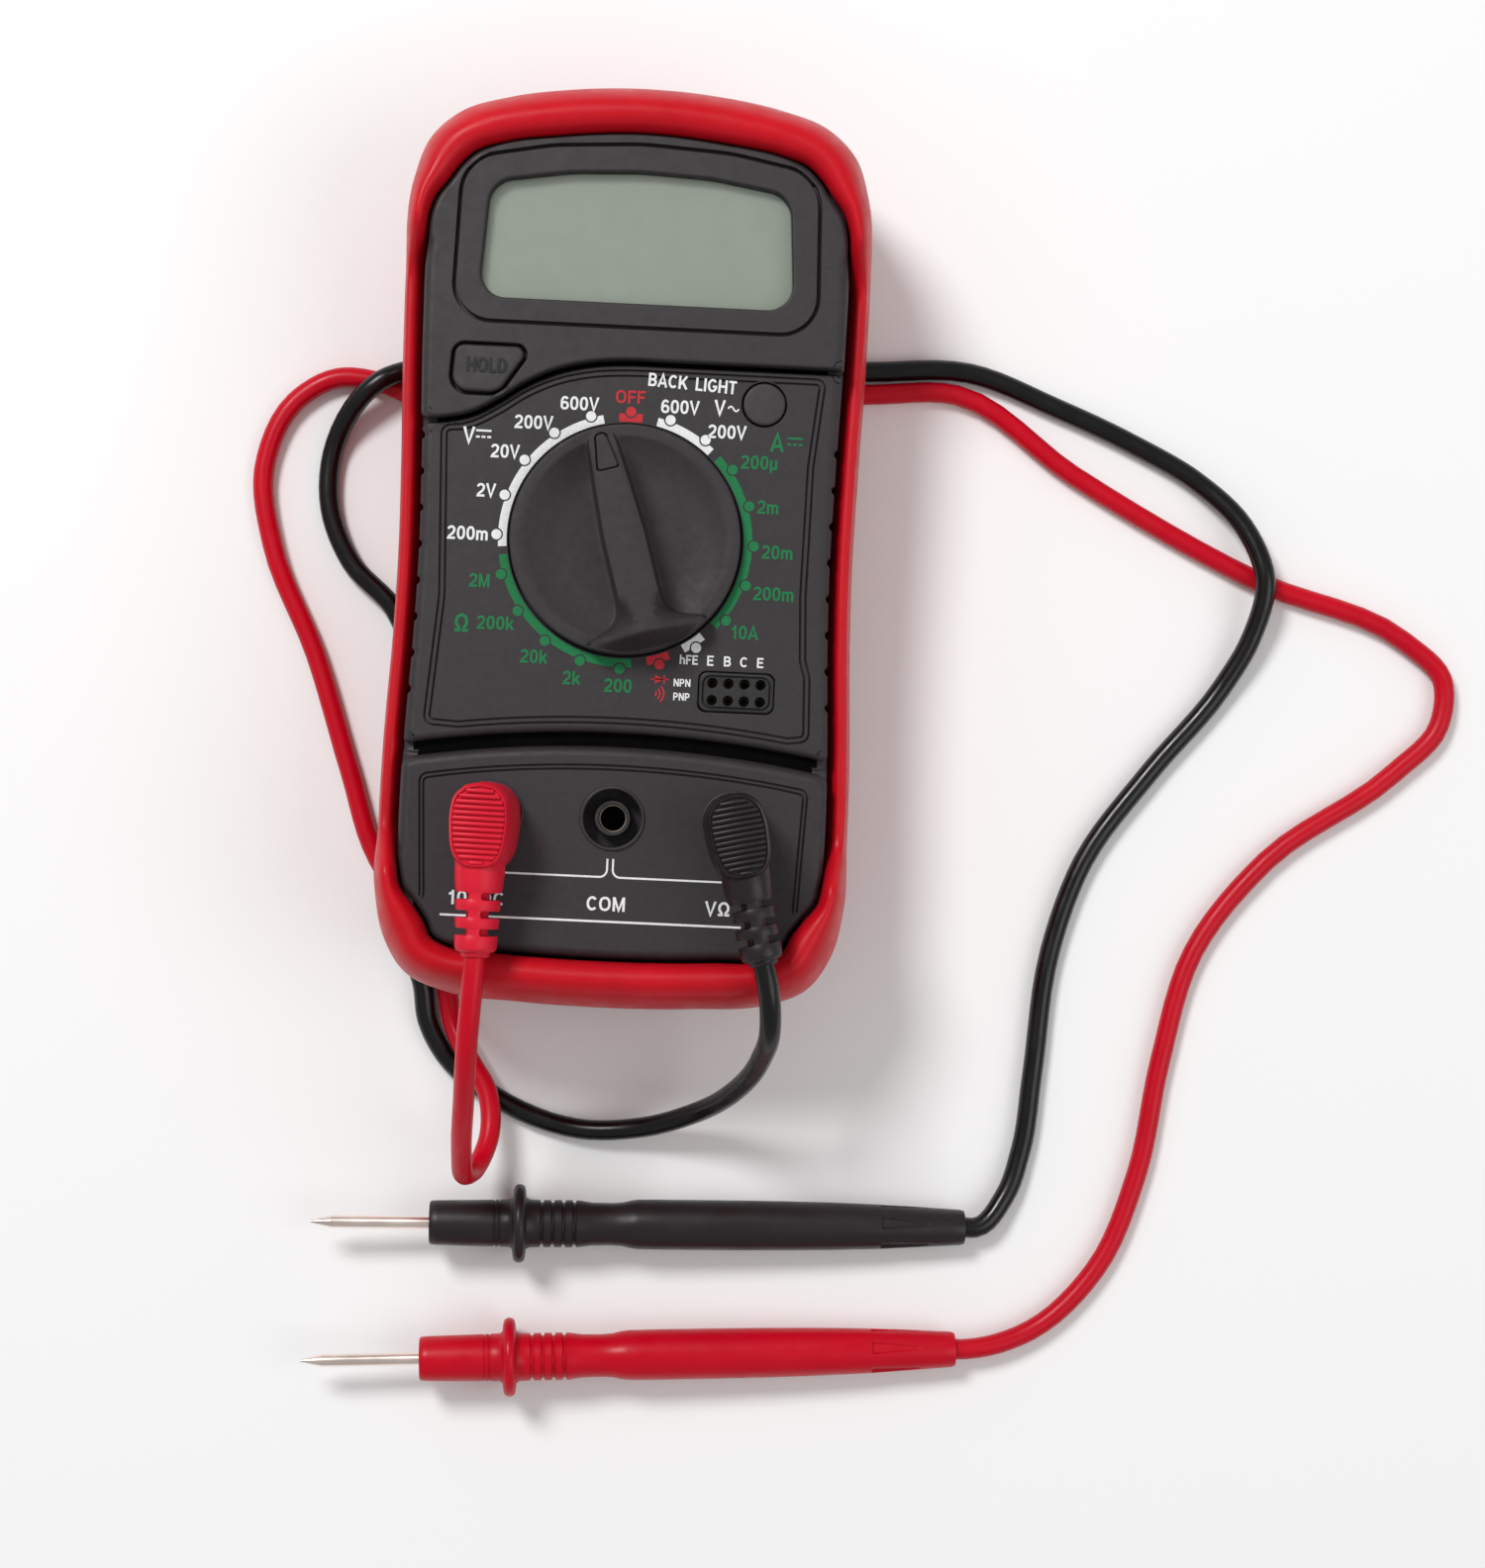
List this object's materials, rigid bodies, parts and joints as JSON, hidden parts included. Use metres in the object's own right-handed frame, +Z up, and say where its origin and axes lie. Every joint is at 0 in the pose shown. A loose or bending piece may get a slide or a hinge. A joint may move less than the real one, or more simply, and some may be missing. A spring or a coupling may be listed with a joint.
{
  "type": "digital multimeter",
  "caption": "Hand-held digital multimeter with rotary selector, blank display, push buttons, rubber holster with tilt stand, and plugged-in test leads with probes.",
  "frame": {"origin": "under the middle of the meter, on the surface it lies on; the leads and probes don't count", "axes": "+X to the right of the face, +Y towards the display end, +Z up out of the face"},
  "size_m": [0.2045, 0.214, 0.0487],
  "materials": {
    "holster_rubber": "soft semi-gloss moulded rubber",
    "case_plastic": "fine-grained matt moulding",
    "knob_plastic": "fine-grained matt moulding",
    "button_rubber": "matt rubber",
    "stand_plastic": "matt moulding",
    "lens_clear": "clear polished acrylic",
    "lcd_glass": "grey-green reflective display",
    "frame_white": "smooth white moulding",
    "zebra_rubber": "striped silicone",
    "guide_acrylic": "frosted acrylic",
    "led_white": "moulded",
    "board_green": "solder mask",
    "epoxy_black": "cured epoxy",
    "component_blue": "moulded",
    "component_tan": "lacquered",
    "sleeve_metal": "plated brass",
    "pin_metal": "nickel plate",
    "spring_steel": "bright drawn steel",
    "shunt_alloy": "bare resistance wire",
    "switch_black": "smooth moulding",
    "rotor_plastic": "smooth moulding",
    "battery_jacket": "printed metal can",
    "red_pvc": "semi-gloss PVC",
    "black_pvc": "semi-gloss PVC",
    "needle_steel": "turned steel"
  },
  "bodies": {
    "meter": {"holster": "holster_rubber", "front_case": "case_plastic", "back_case": "case_plastic", "window_lens": "lens_clear", "lcd_frame": "frame_white", "lcd_glass": "lcd_glass", "zebra_strip": "zebra_rubber", "light_guide": "guide_acrylic", "backlight_led": "led_white", "pcb": "board_green", "chip_blob": "epoxy_black", "trimmer": "component_blue", "resistors": "component_tan", "capacitors": "component_blue", "fuse": "pin_metal", "fuse_clips": "sleeve_metal", "shunt": "shunt_alloy", "buzzer": "switch_black", "com_jack": "sleeve_metal", "outer_jacks": "sleeve_metal", "transistor_socket": "switch_black", "transistor_contacts": "sleeve_metal", "switch_bodies": "switch_black", "battery": "battery_jacket", "battery_snap": "black_pvc", "battery_wires": "red_pvc", "pcb_screws": "spring_steel", "case_screws": "spring_steel", "red_plug": "red_pvc", "red_plug_pin": "pin_metal", "red_lead": "red_pvc", "red_probe_handle": "red_pvc", "red_probe_needle": "needle_steel", "black_plug": "black_pvc", "black_plug_pin": "pin_metal", "black_lead": "black_pvc", "black_probe_handle": "black_pvc", "black_probe_needle": "needle_steel"},
    "selector": {"selector_knob": "knob_plastic", "contact_rotor": "rotor_plastic", "wiper_contacts": "sleeve_metal", "detent_balls": "spring_steel", "detent_springs": "spring_steel"},
    "hold": {"hold_button": "button_rubber", "hold_plunger": "switch_black"},
    "light": {"light_button": "button_rubber", "light_plunger": "switch_black"},
    "stand": {"kickstand": "stand_plastic"}
  },
  "joints": [
    {"name": "selector_turn", "type": "hinge", "parent": "meter", "child": "selector", "pos_m": [0, 0, 0.034], "axis": [0, 0, 1], "continuous": true},
    {"name": "hold_press", "type": "slide", "parent": "meter", "child": "hold", "axis": [0, 0, -1], "range_m": [0, 0.0012], "stiffness_N_per_m": 400},
    {"name": "light_press", "type": "slide", "parent": "meter", "child": "light", "axis": [0, 0, -1], "range_m": [0, 0.0008], "stiffness_N_per_m": 400},
    {"name": "stand_swing", "type": "hinge", "parent": "meter", "child": "stand", "pos_m": [0, 0.015, 0.0029], "axis": [1, 0, 0], "range_deg": [0, 65]}
  ]
}
